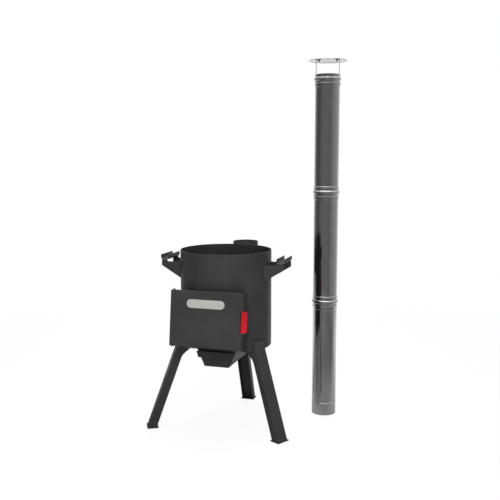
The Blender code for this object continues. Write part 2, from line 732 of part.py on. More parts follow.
def leg(name, angle):
    """A bent channel trimmed to the leg's side view, with its gusset under the body, and its foot."""
    base = empty(name + "_frame", STOVE, rotation=(0, 0, math.radians(angle)))
    across = Vector((0, 1, 0))
    outwards = Vector((math.cos(LEG_LEAN), 0, math.sin(LEG_LEAN)))
    down = across.cross(outwards)
    section_turn = Matrix((across, outwards, down)).transposed()
    half = LEG_WIDTH / 2
    lean = math.tan(LEG_LEAN)
    toe = BODY_RADIUS - GUSSET_REACH
    depth = LEG_OUTSIDE + LEG_OVERLAP * lean - toe
    channel = [
        (-half, -depth),
        (-half, 0, LEG_BEND),
        (half, 0, LEG_BEND),
        (half, -depth),
        (half - LEG_SHEET, -depth),
        (half - LEG_SHEET, -LEG_SHEET, LEG_BEND - LEG_SHEET),
        (LEG_SHEET - half, -LEG_SHEET, LEG_BEND - LEG_SHEET),
        (LEG_SHEET - half, -depth),
    ]
    foot_top = FOOT_THICKNESS + GAP
    top = Vector((LEG_OUTSIDE, 0, LEG_TOP))
    length = (LEG_TOP - foot_top) / math.cos(LEG_LEAN)
    piece = place(
        name, sheet([channel], length + 4 * PAST), base, BLACK_COAT, top + down * length / 2, section_turn
    )
    outer_foot = top.x + (LEG_TOP - foot_top) * lean
    inner_foot = outer_foot - LEG_FLANGE / math.cos(LEG_LEAN)
    under = BODY_BOTTOM - GAP
    slope = 1 / math.tan(GUSSET_SLOPE)
    knee = foot_top + (inner_foot - toe - slope * (under - foot_top)) / (lean - slope)
    view = [
        (top.x, LEG_TOP),
        (outer_foot, foot_top),
        (inner_foot, foot_top),
        (inner_foot - (knee - foot_top) * lean, knee, GUSSET_FILLET),
        (toe, under),
        (toe, LEG_TOP),
    ]
    kept = cutter(name + "_view", sheet([view], 2 * LEG_WIDTH), base, (0, 0, 0), FRONT)
    cut(piece, kept, "INTERSECT")
    cut(piece, bpy.data.objects["body_side"])
    middle = (FOOT_REACH - FOOT_LENGTH / 2, 0, FOOT_THICKNESS / 2)
    place(name + "_foot", box((FOOT_LENGTH, FOOT_WIDTH, FOOT_THICKNESS)), base, BLACK_COAT, middle)


def legs():
    leg("front_left_leg", -90 - LEG_ANGLE)
    leg("front_right_leg", -90 + LEG_ANGLE)
    leg("rear_leg", 90)


def side_handle(side, angle):
    """Two cheeks welded to the body and a trough-shaped grip on their top edges."""
    base = empty(side + "_handle_frame", STOVE, rotation=(0, 0, math.radians(angle)))
    inner, outer = BODY_RADIUS - HANDLE_REACH / 2, HANDLE_END - CHEEK_SHORT
    slope = (HANDLE_ROOT_HEIGHT - HANDLE_END_HEIGHT) / (outer - BODY_RADIUS)
    seat = outer - CHEEK_SEAT
    cheek = [
        (inner, HANDLE_TOP - CHEEK_DROP),
        (inner, HANDLE_TOP - HANDLE_ROOT_HEIGHT - slope * (BODY_RADIUS - inner)),
        (outer, HANDLE_TOP - HANDLE_END_HEIGHT),
        (outer, HANDLE_TOP),
        (seat, HANDLE_TOP),
        (seat - CHEEK_DROP, HANDLE_TOP - CHEEK_DROP),
    ]
    offset = (HANDLE_SPAN - HANDLE_SHEET) / 2
    for end, y in (("front", -offset), ("rear", offset)):
        name = f"{side}_handle_{end}_cheek"
        if side == "left":
            y = -y
        piece = place(name, sheet([cheek], HANDLE_SHEET), base, BLACK_COAT, (0, y, 0), FRONT)
        cut(piece, bpy.data.objects["body_side"])
    low = HANDLE_TOP + GAP
    near, far = HANDLE_END - GRIP_WIDTH, HANDLE_END
    bent = [
        (near, low + GRIP_HEIGHT),
        (near, low, GRIP_BEND),
        (far, low, GRIP_BEND),
        (far, low + GRIP_HEIGHT),
        (far - GRIP_SHEET, low + GRIP_HEIGHT),
        (far - GRIP_SHEET, low + GRIP_SHEET, GRIP_BEND - GRIP_SHEET),
        (near + GRIP_SHEET, low + GRIP_SHEET, GRIP_BEND - GRIP_SHEET),
        (near + GRIP_SHEET, low + GRIP_HEIGHT),
    ]
    place(f"{side}_handle_grip", sheet([bent], HANDLE_SPAN), base, BLACK_COAT, (0, 0, 0), FRONT)


def flue():
    """The box behind the body's flue opening, and the collar on it that takes the chimney."""
    length = FLUE_BACK - BODY_RADIUS / 2
    middle = Vector((0, FLUE_BACK - length / 2, FLUE_TOP - FLUE_HEIGHT / 2))
    duct = place("flue_box", box((FLUE_WIDTH, length, FLUE_HEIGHT)), STOVE, BLACK_COAT, middle)
    size = (FLUE_WIDTH - 2 * FLUE_SHEET, length, FLUE_HEIGHT - 2 * FLUE_SHEET)
    cut(duct, cutter("flue_box_inside", box(size), STOVE, middle - Vector((0, FLUE_SHEET, 0))))
    cut(duct, body_cutter("flue_box_end", 0))
    bore = rod(PIPE_DIAMETER - 2 * FLUE_SEAT, 2 * PAST, PIPE_STEPS)
    cut(duct, cutter("flue_box_hole", bore, STOVE, (0, COLLAR_Y, FLUE_TOP)))
    inside = PIPE_RADIUS + COLLAR_CLEARANCE
    ring = [
        (inside + COLLAR_SHEET, COLLAR_HEIGHT),
        (inside + COLLAR_SHEET, 0),
        (inside, 0),
        (inside, COLLAR_HEIGHT),
    ]
    place("flue_collar", turned(ring, PIPE_STEPS), STOVE, BLACK_COAT, (0, COLLAR_Y, FLUE_TOP + GAP))


def swell(radius, bottom, height, depth, steps=4):
    """Points between the ends of a round swelling on a wall, from its top to its bottom."""
    middle = bottom + height / 2
    angles = [math.pi * step / steps for step in range(1, steps)]
    return [(radius + depth * math.sin(angle), middle + height / 2 * math.cos(angle)) for angle in angles]


def pipe_profile():
    bulge_top = PIPE_LENGTH - BULGE_BELOW_LIP
    bulge_bottom = bulge_top - BULGE_HEIGHT
    step_bottom = PIPE_LENGTH - SOCKET_DEPTH
    step_top = step_bottom + PIPE_SHEET + SOCKET_CLEARANCE
    bead_top = SPIGOT_LENGTH + BEAD_HEIGHT
    outer = [(SOCKET_OUTSIDE, PIPE_LENGTH), (SOCKET_OUTSIDE, bulge_top)]
    outer += swell(SOCKET_OUTSIDE, bulge_bottom, BULGE_HEIGHT, BULGE_DEPTH)
    outer += [(SOCKET_OUTSIDE, bulge_bottom), (SOCKET_OUTSIDE, step_top), (PIPE_RADIUS, step_bottom)]
    outer += [(PIPE_RADIUS, bead_top)]
    outer += swell(PIPE_RADIUS, SPIGOT_LENGTH, BEAD_HEIGHT, BEAD_DEPTH)
    outer += [(PIPE_RADIUS, SPIGOT_LENGTH), (PIPE_RADIUS, 0)]
    bore = PIPE_RADIUS - PIPE_SHEET
    inner = [(bore, 0), (bore, step_bottom), (SOCKET_INSIDE, step_top), (SOCKET_INSIDE, bulge_bottom)]
    inner += reversed(swell(SOCKET_INSIDE, bulge_bottom, BULGE_HEIGHT, BULGE_DEPTH))
    inner += [(SOCKET_INSIDE, bulge_top), (SOCKET_INSIDE, PIPE_LENGTH)]
    return outer + inner


def chimney():
    """The sections, each on the one below. The lowest stands on the ground by its spigot."""
    parent = CHIMNEY
    for index, name in enumerate(SECTION_NAMES):
        if index:
            parent = empty(f"{name}_section_lift", parent, (0, 0, SECTION_PITCH))
        mesh = turned(pipe_profile(), PIPE_STEPS)
        section = place(f"{name}_chimney_section", mesh, parent, STAINLESS)
    return section, parent


def rain_cap(top_section, parent):
    """The ring in the upper socket, two straps, the hat, and what fastens them."""
    lip = PIPE_LENGTH
    bottom = lip - SPIGOT_LENGTH
    inside = PIPE_RADIUS - PIPE_SHEET
    ring_profile = [
        (PIPE_RADIUS, lip + CAP_RING_SHOWING),
        (PIPE_RADIUS, bottom),
        (inside, bottom),
        (inside, lip + CAP_RING_SHOWING),
    ]
    ring = place("cap_ring", turned(ring_profile, PIPE_STEPS), parent, STAINLESS)
    rim = lip + HAT_ABOVE_LIP
    hat_profile = [
        (0, rim + HAT_RISE + HAT_SHEET),
        (HAT_DIAMETER / 2, rim + HAT_SHEET),
        (HAT_DIAMETER / 2, rim),
        (0, rim + HAT_RISE),
    ]
    hat = place("cap_hat", turned(hat_profile, HAT_STEPS, closed=False), parent, STAINLESS)
    slope = HAT_RISE / (HAT_DIAMETER / 2)
    lean = math.atan(slope)
    flat_inside = inside * math.cos(math.pi / PIPE_STEPS)
    outer = math.sqrt(flat_inside**2 - (CAP_STRAP_WIDTH / 2) ** 2) - GAP
    inner = outer - CAP_STRAP_SHEET
    tab_end = inner - CAP_TAB

    def under_hat(x):
        return rim + HAT_RISE - slope * x - GAP

    strap_bottom = lip + CAP_RING_SHOWING - CAP_STRAP_IN_RING
    drop = CAP_STRAP_SHEET / math.cos(lean)
    bent = [
        (outer, strap_bottom),
        (outer, under_hat(outer), CAP_STRAP_SHEET),
        (tab_end, under_hat(tab_end)),
        (tab_end, under_hat(tab_end) - drop),
        (inner, under_hat(inner) - drop),
        (inner, strap_bottom),
    ]
    bolt_x = tab_end + CAP_TAB / 2
    bolt_seat = Vector((bolt_x, 0, under_hat(bolt_x) + (HAT_SHEET + 2 * GAP) / math.cos(lean)))
    square = Matrix.Rotation(lean, 3, "Y")
    nut_near = HAT_SHEET + CAP_STRAP_SHEET + 3 * GAP
    nut_far = nut_near + CAP_NUT_HEIGHT
    nut_middle = bolt_seat - square @ Vector((0, 0, (nut_near + nut_far) / 2))
    screw_z = lip - CAP_SCREW_BELOW_LIP
    for side, angle in (("left", 180), ("right", 0)):
        base = empty(f"cap_{side}_frame", parent, rotation=(0, 0, math.radians(angle)))
        strap = place(f"cap_strap_{side}", sheet([bent], CAP_STRAP_WIDTH), base, STAINLESS, turn=FRONT)
        radially = Matrix.Rotation(math.pi / 2, 3, "Y")
        hole = cutter(
            f"cap_screw_hole_{side}",
            rod(CAP_SCREW + 2 * RIVET_CLEARANCE, 2 * PAST),
            base,
            (PIPE_RADIUS, 0, screw_z),
            radially,
        )
        for piece in (top_section, ring, strap):
            cut(piece, hole)
        length = SOCKET_OUTSIDE - inner + GAP + CAP_SCREW_TAIL
        screw = stud(CAP_SCREW, CAP_SCREW_HEAD, CAP_SCREW_HEAD_HEIGHT, length, dome=True)
        spot = (SOCKET_OUTSIDE + GAP, 0, screw_z)
        place(f"cap_screw_{side}", screw, base, STAINLESS, spot, radially)
        nut = place(f"cap_nut_{side}", rod(CAP_NUT, CAP_NUT_HEIGHT, 6), base, STAINLESS, nut_middle, square)
        drill = rod(CAP_BOLT + 2 * RIVET_CLEARANCE, 2 * PAST)
        hole = cutter(f"cap_bolt_hole_{side}", drill, base, bolt_seat, square)
        for piece in (strap, hat, nut):
            cut(piece, hole)
        bolt = stud(CAP_BOLT, CAP_BOLT_HEAD, CAP_BOLT_DOME, nut_far + CAP_THREAD_SHOWING, dome=True)
        place(f"cap_bolt_{side}", bolt, base, STAINLESS, bolt_seat, square)


clear_scene()
PARTS = collection("kazan_stove_kit")
CUTTERS = collection("cutters")

# Frames that the pieces hang on
STOVE = empty("kazan_stove", location=(KIT_X, KIT_Y, 0))
DOOR_PLANE = empty(
    "door_plane",
    STOVE,
    (0, -BODY_RADIUS - DOOR_AHEAD, BODY_BOTTOM + DOOR_RAISE),
    (-DOOR_LEAN, 0, 0),
)
DOOR_HINGE = empty("door_hinge_axis", DOOR_PLANE, (HINGE_X, HINGE_DEPTH, 0))
DOOR_SWING = empty("door_swing", DOOR_HINGE, (-HINGE_X, -HINGE_DEPTH, 0))
DRAWER = empty("ash_drawer_slide", STOVE)
CHIMNEY = empty("chimney", STOVE, (CHIMNEY_X, CHIMNEY_Y, 0))

# The door's lower front corner and directions in the stove's (y, z) plane
DOOR_CORNER = Vector((-BODY_RADIUS - DOOR_AHEAD, BODY_BOTTOM + DOOR_RAISE))
DOOR_UP = Vector((math.sin(DOOR_LEAN), math.cos(DOOR_LEAN)))
DOOR_INWARD = Vector((math.cos(DOOR_LEAN), -math.sin(DOOR_LEAN)))

fire_body()
bottom_plate()
grate()
portal()
door()
door_hinge()
door_handle()
nameplate()
ash_box()
body_cutter("body_side", BODY_BOTTOM - GAP)
legs()
side_handle("right", 0)
side_handle("left", 180)
flue()
rain_cap(*chimney())
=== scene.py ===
"""Looks of the kazan stove kit: rounded sheet edges, the chimney's turned sheet, welds, finishes,
a pale studio and the photograph's camera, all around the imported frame."""

import json
import math

import bmesh
import bpy
from mathutils import Matrix, Vector


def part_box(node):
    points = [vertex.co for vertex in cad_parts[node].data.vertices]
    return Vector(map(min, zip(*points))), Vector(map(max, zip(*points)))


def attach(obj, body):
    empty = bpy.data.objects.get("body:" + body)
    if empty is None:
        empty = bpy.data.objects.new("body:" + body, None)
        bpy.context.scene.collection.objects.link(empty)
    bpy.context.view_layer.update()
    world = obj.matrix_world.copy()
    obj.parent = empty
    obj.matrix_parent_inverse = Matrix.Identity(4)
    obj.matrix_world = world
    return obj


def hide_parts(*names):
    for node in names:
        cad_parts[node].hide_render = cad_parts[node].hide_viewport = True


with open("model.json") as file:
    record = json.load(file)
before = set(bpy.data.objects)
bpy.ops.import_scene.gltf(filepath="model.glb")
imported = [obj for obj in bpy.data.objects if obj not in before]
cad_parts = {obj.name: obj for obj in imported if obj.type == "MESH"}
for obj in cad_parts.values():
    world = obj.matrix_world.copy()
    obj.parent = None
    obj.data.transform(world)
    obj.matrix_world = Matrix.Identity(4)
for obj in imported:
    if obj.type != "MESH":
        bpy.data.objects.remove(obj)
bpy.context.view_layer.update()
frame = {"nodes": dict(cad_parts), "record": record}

# Places read from the frame
SHELL_LOW, SHELL_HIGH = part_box("firebox_shell")
STOVE_X = (SHELL_LOW.x + SHELL_HIGH.x) / 2
STOVE_Y = (SHELL_LOW.y + SHELL_HIGH.y) / 2
BODY_RADIUS = (SHELL_HIGH.x - SHELL_LOW.x) / 2
COLLAR_LOW, COLLAR_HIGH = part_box("flue_collar")
RING_LOW, RING_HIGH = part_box("cap_ring")
HAT_LOW, HAT_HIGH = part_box("cap_hat")
CHIMNEY_X = (RING_LOW.x + RING_HIGH.x) / 2
CHIMNEY_Y = (RING_LOW.y + RING_HIGH.y) / 2
PIPE_RADIUS = (RING_HIGH.x - RING_LOW.x) / 2
BODIES = {
    node: body for body, nodes in frame["record"]["behaviour"]["bodies"].items() for node in nodes
}
SLOTS = {part["node"]: part["material_slot"] for part in frame["record"]["subparts"]}

# Sheet edges
EDGE = 0.0006
EDGE_SEGMENTS = 2
EDGE_ANGLE = math.radians(40)  # sharper bends are rounded
SHARP_ANGLE = math.radians(30)
FLAT_ANGLE = math.radians(0.6)
MERGE_DISTANCE = 1e-6

# Pipe sections: bulge and ridge of the socket, step under it, bead that stops the spigot
TURN_STEPS = 128
PIPE_SHEET = 0.0008
SOCKET_CLEARANCE = 0.0004
SOCKET_DEPTH = 0.050
SPIGOT = 0.046  # length that goes into the socket below
BULGE_HEIGHT = 0.015
BULGE_DEPTH = 0.0034
BULGE_BELOW_LIP = 0.0105
BULGE_STEPS = 10
BEAD_HEIGHT = 0.006
BEAD_DEPTH = 0.0012
BEAD_STEPS = 8
RIDGE_HEIGHT = 0.003
RIDGE_DEPTH = 0.0005
RIDGE_BELOW_LIP = 0.0335
RIDGE_STEPS = 4
SWELL_FULLNESS = 1.3  # above 1, a swelling runs out softly into the wall
STEP_HEIGHT = 0.0022
STEP_KNEE = (0.0004, 0.0010)  # in from the socket's wall, up from the step's foot
STEP_INNER_HEIGHT = 0.0014
LIP_IN = 0.0002
LIP_DOWN = 0.0003

# Rain hat: blunt tip and rolled rim
HAT_SHEET = 0.001
HAT_TIP_RADIUS = 0.006
HAT_TIP_DROP = 0.0006
HAT_TIP_DROP_INSIDE = 0.0008
HAT_ROLL = 0.0013
HAT_ROLL_TURNS = (54, 18, -18, -54, -90)  # degrees above level
HAT_RIM_RISE = 0.0006
HAT_RIM_LIFT = 0.0002

COLLAR_SHEET = 0.002

# Welds
WELD_RADIUS = 0.0022
WELD_STEP = 0.0008  # along the bead
WELD_TURN = math.radians(100)  # of the ripple, per step
WELD_RIPPLE = 0.16  # share of the radius
WELD_SIDES = 8
WELD_INSET = 0.004  # from the lower end of what is welded
PORTAL_WELD_STEPS = 40
COLLAR_WELD_STEPS = 48
CHEEK_DROP = 0.0055  # from a cheek's highest edge to its top at the body
DOOR_LEAN = math.radians(7)
GUSSET_REACH = 0.040
LEG_HALF = 0.026  # half the leg's width at the body
LEG_SPREAD = 60.5  # degrees, to both sides of the door
LEG_TURNS = {  # degrees from the right
    "front_left_leg": -90 - LEG_SPREAD,
    "front_right_leg": -90 + LEG_SPREAD,
    "rear_leg": 90,
}

# Camera, measured from the stove's axis on the ground
CAMERA_PLACE = (0.96787, -2.79671, 1.09011)
CAMERA_DOWN = math.radians(82.67)  # 90 degrees is level
CAMERA_YAW = math.radians(17.23)
CAMERA_LENS = 53.55
CAMERA_SENSOR = 36
CAMERA_REACH = 100

# Studio: levels are linear, directions are unit vectors
PAPER = 0.50  # as it lights the stove
PAPER_MIRRORED = 0.26
PAPER_SHOWN = 0.14  # so that the shadow stays faint
PAPER_GLOW = 0.905
PAPER_DROP = 0.0002
PAPER_MARGIN = 0.5
PAPER_FADE = (1.2, 3.2)  # metres from the middle, where the paper thins out and where it is gone
PAINTED_GLOW_AT_PIPE = 0.17  # painted glow on the paper around the chimney's foot, seen only in the metal
PIPE_GLOW_FADE = (0.2, 1.0)
AMBIENT = 0.02
BACKDROP = (-0.0819, 0.9966, 0)  # towards the white backdrop's middle
BACKDROP_LEVELS = ((0.1, 0), (0.33, 0.08), (0.57, 0.31), (0.80, 0.74), (0.95, 1))
CEILING_LEVELS = ((0.25, 0), (0.5, 1))
SIDE = (0.9551, 0.2962, 0)  # to the camera's right
ROOM_LEVELS = (  # from the camera's left to its right
    (0, 0.10),
    (0.05, 0.16),
    (0.15, 0.196),
    (0.6, 0.196),
    (0.74, 0.18),
    (0.83, 0.26),
    (0.96, 0.34),
    (1, 0.39),
)
LAMP_AIM_HEIGHT = 0.5
LAMPS = (  # name, (degrees right of the door, metres up, metres out), size, watts
    ("key", (16, 1.7, 2.7), 1.2, 46),
    ("front", (18, -0.2, 3.6), 1.6, 62),
    ("top", (150, 3.0, 0.3), 2.0, 55),
    ("back", (200, 1.6, 3.0), 1.6, 30),
)
MIRRORED_LAMP = "top"  # the others don't show in the metal


# Node trees


class Tree:
    """Short calls for building a node tree."""

    def __init__(self, tree):
        self.tree = tree

    def add(self, kind, **settings):
        node = self.tree.nodes.new(kind)
        for key, value in settings.items():
            setattr(node, key, value)
        return node

    def put(self, socket, value):
        """value is an output to link to the socket, or a constant for it."""
        if isinstance(value, bpy.types.NodeSocket):
            self.tree.links.new(value, socket)
        else:
            socket.default_value = value

    def ramp(self, source, stops):
        """stops are (position, level or colour)."""
        node = self.add("ShaderNodeValToRGB")
        elements = node.color_ramp.elements
        while len(elements) < len(stops):
            elements.new(0.5)
        for element, (place, value) in zip(elements, stops):
            element.position = place
            colour = value if isinstance(value, tuple) else (value, value, value)
            element.color = (*colour, 1)
        self.put(node.inputs["Fac"], source)
        return node.outputs["Color"]

    def calculate(self, operation, first, second, clamp=False):
        node = self.add("ShaderNodeMath", operation=operation, use_clamp=clamp)
        self.put(node.inputs[0], first)
        self.put(node.inputs[1], second)
        return node.outputs["Value"]

    def mix(self, factor, first, second):
        node = self.add("ShaderNodeMix", data_type="FLOAT")
        self.put(node.inputs["Factor"], factor)
        self.put(node.inputs["A"], first)
        self.put(node.inputs["B"], second)
        return node.outputs["Result"]

    def along(self, vector, direction):
        node = self.add("ShaderNodeVectorMath", operation="DOT_PRODUCT")
        self.put(node.inputs[0], vector)
        self.put(node.inputs[1], direction)
        return node.outputs["Value"]

    def fade(self, source, reach, start, end):
        """A soft change from start to end, over a reach of (near, far) in the source."""
        node = self.add("ShaderNodeMapRange", interpolation_type="SMOOTHSTEP")
        self.put(node.inputs["Value"], source)
        self.put(node.inputs["From Min"], reach[0])
        self.put(node.inputs["From Max"], reach[1])
        self.put(node.inputs["To Min"], start)
        self.put(node.inputs["To Max"], end)
        return node.outputs["Result"]

    def rays(self):
        """1 for camera rays, and 1 for rays that metal or glass sends on."""
        path = self.add("ShaderNodeLightPath")
        glossy = path.outputs["Is Glossy Ray"]
        sent_on = self.calculate("ADD", glossy, path.outputs["Is Transmission Ray"], clamp=True)
        return path.outputs["Is Camera Ray"], sent_on


class Finish(Tree):
    """A piece's material, laid out in the piece's own coordinates."""

    def __init__(self, name):
        self.material = bpy.data.materials.new(name)
        self.material.use_nodes = True
        super().__init__(self.material.node_tree)
        self.surface = self.tree.nodes["Principled BSDF"]
        self.position = self.add("ShaderNodeTexCoord").outputs["Object"]

    def set(self, socket, value):
        self.put(self.surface.inputs[socket], value)

    def noise(self, scale, detail, roughness=0.5, stretch=None):
        node = self.add("ShaderNodeTexNoise")
        self.put(node.inputs["Scale"], scale)
        self.put(node.inputs["Detail"], detail)
        self.put(node.inputs["Roughness"], roughness)
        source = self.position
        if stretch:
            mapping = self.add("ShaderNodeMapping")
            self.put(mapping.inputs["Scale"], stretch)
            self.put(mapping.inputs["Vector"], source)
            source = mapping.outputs["Vector"]
        self.put(node.inputs["Vector"], source)
        return node.outputs["Fac"]

    def bump(self, source, height, before=None):
        node = self.add("ShaderNodeBump")
        self.put(node.inputs["Strength"], 1.0)
        self.put(node.inputs["Distance"], height)
        self.put(node.inputs["Height"], source)
        if before:
            self.put(node.inputs["Normal"], before)
        return node.outputs["Normal"]


def powder_coat(name, colour, rough):
    """Baked paint: a fine pebbled skin, faintly uneven in tone and gloss."""
    finish = Finish(name)
    finish.set("Specular IOR Level", 0.15)
    dark = tuple(channel * 0.86 for channel in colour)
    light = tuple(min(1, channel * 1.14) for channel in colour)
    finish.set("Base Color", finish.ramp(finish.noise(scale=9, detail=3), [(0.3, dark), (0.7, light)]))
    gloss = finish.noise(scale=23, detail=4)
    finish.set("Roughness", finish.ramp(gloss, [(0.3, rough - 0.05), (0.7, rough + 0.05)]))
    pebbles = finish.bump(finish.noise(scale=900, detail=2, roughness=0.6), height=0.00006)
    finish.set("Normal", finish.bump(finish.noise(scale=14, detail=2), height=0.0004, before=pebbles))
    return finish.material


def bright_steel(name, colour, rough):
    """Bright rolled sheet: fine lines along the pipe, soft buckles, hazy patches."""
    finish = Finish(name)
    finish.set("Metallic", 1.0)
    dark = tuple(channel * 0.93 for channel in colour)
    finish.set("Base Color", finish.ramp(finish.noise(scale=30, detail=5), [(0.35, dark), (0.65, colour)]))
    haze = finish.noise(scale=11, detail=4)
    finish.set("Roughness", finish.ramp(haze, [(0.3, rough - 0.03), (0.75, rough + 0.05)]))
    streaks = finish.noise(scale=60, detail=3, roughness=0.6, stretch=(1, 1, 0.04))
    lines = finish.bump(streaks, height=0.000006)
    finish.set("Normal", finish.bump(finish.noise(scale=5, detail=1), height=0.0004, before=lines))
    return finish.material


def zinc_plate(name):
    """Zinc plated fasteners: spangled, a little hazy."""
    finish = Finish(name)
    finish.set("Metallic", 1.0)
    spangle = finish.noise(scale=600, detail=3)
    tones = [(0.3, (0.50, 0.52, 0.54)), (0.7, (0.68, 0.70, 0.72))]
    finish.set("Base Color", finish.ramp(spangle, tones))
    finish.set("Roughness", finish.ramp(finish.noise(scale=300, detail=2), [(0.3, 0.28), (0.7, 0.45)]))
    finish.set("Normal", finish.bump(finish.noise(scale=1500, detail=2), height=0.00003))
    return finish.material


def bare_plate(name):
    """Satin plate, brushed along its length."""
    finish = Finish(name)
    finish.set("Metallic", 0.3)
    lines = finish.noise(scale=120, detail=4, roughness=0.7, stretch=(0.08, 1, 6))
    tones = [(0.3, (0.53, 0.525, 0.51)), (0.7, (0.63, 0.625, 0.61))]
    finish.set("Base Color", finish.ramp(lines, tones))
    finish.set("Roughness", finish.ramp(lines, [(0.3, 0.38), (0.7, 0.52)]))
    finish.set("Normal", finish.bump(lines, height=0.00004))
    return finish.material


def cast_iron(name):
    """Sand-cast iron: coarse grain, dull, with small pits."""
    finish = Finish(name)
    finish.set("Metallic", 0.5)
    grain = finish.noise(scale=160, detail=5)
    tones = [(0.3, (0.020, 0.019, 0.018)), (0.75, (0.070, 0.067, 0.064))]
    finish.set("Base Color", finish.ramp(grain, tones))
    finish.set("Roughness", finish.ramp(finish.noise(scale=220, detail=3), [(0.3, 0.62), (0.7, 0.85)]))
    pits = finish.noise(scale=420, detail=5, roughness=0.65)
    finish.set("Normal", finish.bump(pits, height=0.0005))
    return finish.material


FINISHES = {
    "black_coat": powder_coat("black_powder_coat", (0.045, 0.045, 0.0455), 0.45),
    "red_coat": powder_coat("red_powder_coat", (0.50, 0.018, 0.024), 0.42),
    "bare_plate": bare_plate("bare_plate_metal"),
    "zinc": zinc_plate("zinc_plate"),
    "stainless": bright_steel("bright_stainless", (0.50, 0.50, 0.51), 0.13),
    "cast_iron": cast_iron("cast_iron"),
}


# Shapes


def new_object(name, shape, body, slot):
    """A shape made into an object that moves with its body. It frees the shape."""
    mesh = bpy.data.meshes.new(name)
    shape.to_mesh(mesh)
    shape.free()
    mesh.shade_smooth()
    mesh.materials.append(FINISHES[slot])
    made = bpy.data.objects.new(name, mesh)
    bpy.context.scene.collection.objects.link(made)
    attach(made, body)
    return made


def rounded_copy(node):
    """The CAD node's shape with its sheet edges rounded. It stands for the node."""
    shape = bmesh.new()
    shape.from_mesh(frame["nodes"][node].data)
    bmesh.ops.remove_doubles(shape, verts=shape.verts, dist=MERGE_DISTANCE)
    bmesh.ops.dissolve_limit(shape, angle_limit=FLAT_ANGLE, verts=shape.verts, edges=shape.edges)
    made = new_object(node + "_finished", shape, BODIES[node], SLOTS[node])
    bevel = made.modifiers.new("rounded_edges", "BEVEL")
    bevel.width = EDGE
    bevel.segments = EDGE_SEGMENTS
    bevel.limit_method = "ANGLE"
    bevel.angle_limit = EDGE_ANGLE
    flats = made.modifiers.new("flat_faces", "WEIGHTED_NORMAL")
    flats.keep_sharp = True
    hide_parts(node)


def turned(name, node, profile, centre, closed=True):
    """A profile of (radius, height) points turned about the vertical line through centre.

    It stands for the node.
    """
    shape = bmesh.new()
    verts = [shape.verts.new((radius, 0, height)) for radius, height in profile]
    for pair in zip(verts, verts[1:]):
        shape.edges.new(pair)
    if closed:
        shape.edges.new((verts[-1], verts[0]))
    bmesh.ops.spin(
        shape,
        geom=shape.verts[:] + shape.edges[:],
        axis=(0, 0, 1),
        cent=(0, 0, 0),
        angle=2 * math.pi,
        steps=TURN_STEPS,
        use_merge=True,
    )
    bmesh.ops.remove_doubles(shape, verts=shape.verts, dist=MERGE_DISTANCE)
    bmesh.ops.recalc_face_normals(shape, faces=shape.faces)
    bmesh.ops.translate(shape, verts=shape.verts, vec=centre)
    made = new_object(name, shape, BODIES[node], SLOTS[node])
    made.data.set_sharp_from_angle(angle=SHARP_ANGLE)
    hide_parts(node)


def swell(radius, top, height, depth, steps):
    """Points of a round swelling on a wall, from its top to its bottom."""
    middle = top - height / 2
    points = []
    for step in range(steps + 1):
        turn = math.pi * step / steps
        out = radius + depth * math.sin(turn) ** SWELL_FULLNESS
        points.append((out, middle + height / 2 * math.cos(turn)))
    return points


def pipe_section(name, node):
    """A chimney section of thin sheet: socket with its bulge and ridge, stop bead and spigot."""
    low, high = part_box(node)
    length = high.z - low.z
    bore = PIPE_RADIUS - PIPE_SHEET
    inside = PIPE_RADIUS + SOCKET_CLEARANCE
    outside = inside + PIPE_SHEET
    step = length - SOCKET_DEPTH
    bulge = (length - BULGE_BELOW_LIP, BULGE_HEIGHT, BULGE_DEPTH, BULGE_STEPS)
    ridge = (length - RIDGE_BELOW_LIP, RIDGE_HEIGHT, RIDGE_DEPTH, RIDGE_STEPS)
    bead = (SPIGOT + BEAD_HEIGHT, BEAD_HEIGHT, BEAD_DEPTH, BEAD_STEPS)
    outer = [(outside - LIP_IN, length), (outside, length - LIP_DOWN)]
    outer += swell(outside, *bulge)
    outer += swell(outside, *ridge)
    outer.append((outside, step + STEP_HEIGHT))
    outer.append((outside - STEP_KNEE[0], step + STEP_KNEE[1]))
    outer.append((PIPE_RADIUS, step))
    outer += swell(PIPE_RADIUS, *bead)
    outer += [(PIPE_RADIUS, LIP_DOWN), (PIPE_RADIUS - LIP_IN, 0)]
    inner = [(bore, 0)]
    inner += reversed(swell(bore, *bead))
    inner += [(bore, step), (inside, step + STEP_INNER_HEIGHT)]
    inner += reversed(swell(inside, *bulge))
    inner.append((inside, length))
    turned(name, node, outer + inner, (CHIMNEY_X, CHIMNEY_Y, low.z))


def chimney():
    for part in ("lower", "middle", "upper"):
        pipe_section(f"{part}_section_sheet", f"{part}_chimney_section")


def hat():
    """The shallow cone, its rim rolled under."""
    rim = HAT_HIGH.x - CHIMNEY_X
    rise = HAT_HIGH.z - HAT_LOW.z
    roll_middle = rim - HAT_ROLL
    outer = [(0, rise), (HAT_TIP_RADIUS, rise - HAT_TIP_DROP), (roll_middle, HAT_SHEET + HAT_RIM_RISE)]
    for turn in map(math.radians, HAT_ROLL_TURNS):
        outer.append((roll_middle + HAT_ROLL * math.cos(turn), HAT_RIM_LIFT + HAT_ROLL * math.sin(turn)))
    inner = [
        (rim - 2 * HAT_ROLL, HAT_RIM_LIFT),
        (HAT_TIP_RADIUS, rise - HAT_SHEET - HAT_TIP_DROP_INSIDE),
        (0, rise - HAT_SHEET),
    ]
    centre = (CHIMNEY_X, CHIMNEY_Y, HAT_LOW.z)
    turned("rain_hat_sheet", "cap_hat", outer + inner, centre, closed=False)


